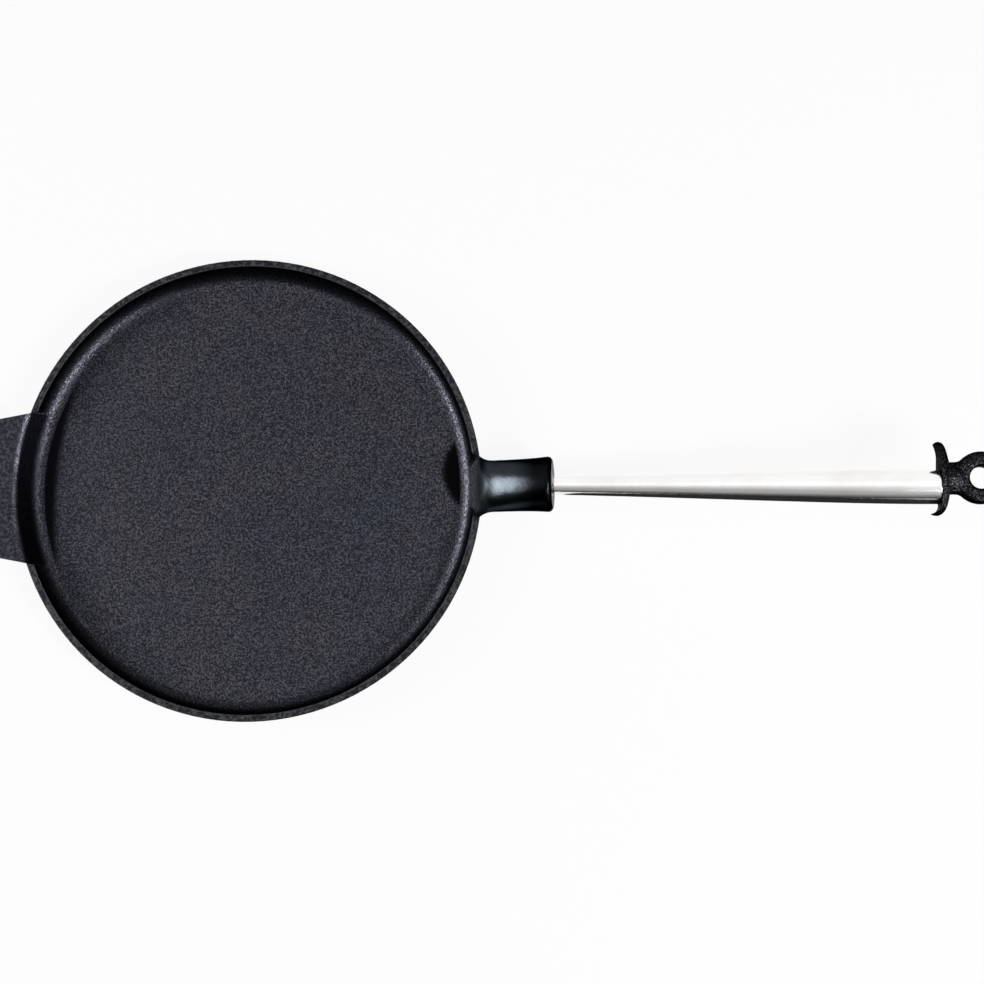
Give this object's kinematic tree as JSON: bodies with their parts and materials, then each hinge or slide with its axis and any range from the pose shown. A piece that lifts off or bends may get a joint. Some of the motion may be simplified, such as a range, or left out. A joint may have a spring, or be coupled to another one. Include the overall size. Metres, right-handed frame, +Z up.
{
  "type": "pancake pan",
  "caption": "Shallow round cast-iron pan with a low rolled rim, a flat helper tab and a flared socket boss that carries a tapered steel tube handle ending in a cast guard and hanging ring",
  "frame": {"origin": "centre of the round flat underside of the pan, on the surface it stands on", "axes": "+X along the handle from the pan to the hanging ring, +Y to the left when looking from the pan along the handle, +Z up out of the cooking face"},
  "size_m": [0.5014, 0.2296, 0.053],
  "materials": {
    "cast_iron": "fine sand-cast, seasoned, half matt",
    "stainless": "polished stainless steel",
    "rod_steel": "plain drawn steel, threaded ends",
    "cast_iron_rough": "coarse sand-cast, unground"
  },
  "bodies": {
    "pan": {"pan_casting": "cast_iron", "handle_tube": "stainless"},
    "tie_rod": {"tie_rod": "rod_steel"},
    "end_eye": {"end_eye": "cast_iron_rough"}
  },
  "joints": [
    {"name": "tie_rod_travel", "type": "slide", "parent": "pan", "child": "tie_rod", "axis": [0.9903, 0, 0.1392], "range_m": [0, 0.015]},
    {"name": "eye_turn", "type": "hinge", "parent": "tie_rod", "child": "end_eye", "pos_m": [0.15, 0, 0.018], "axis": [0.9903, 0, 0.1392], "range_deg": [0, 5400]}
  ],
  "couplings": [
    {"joint": "tie_rod_travel", "follows": "eye_turn", "m_per_rad": 0.00015915}
  ]
}
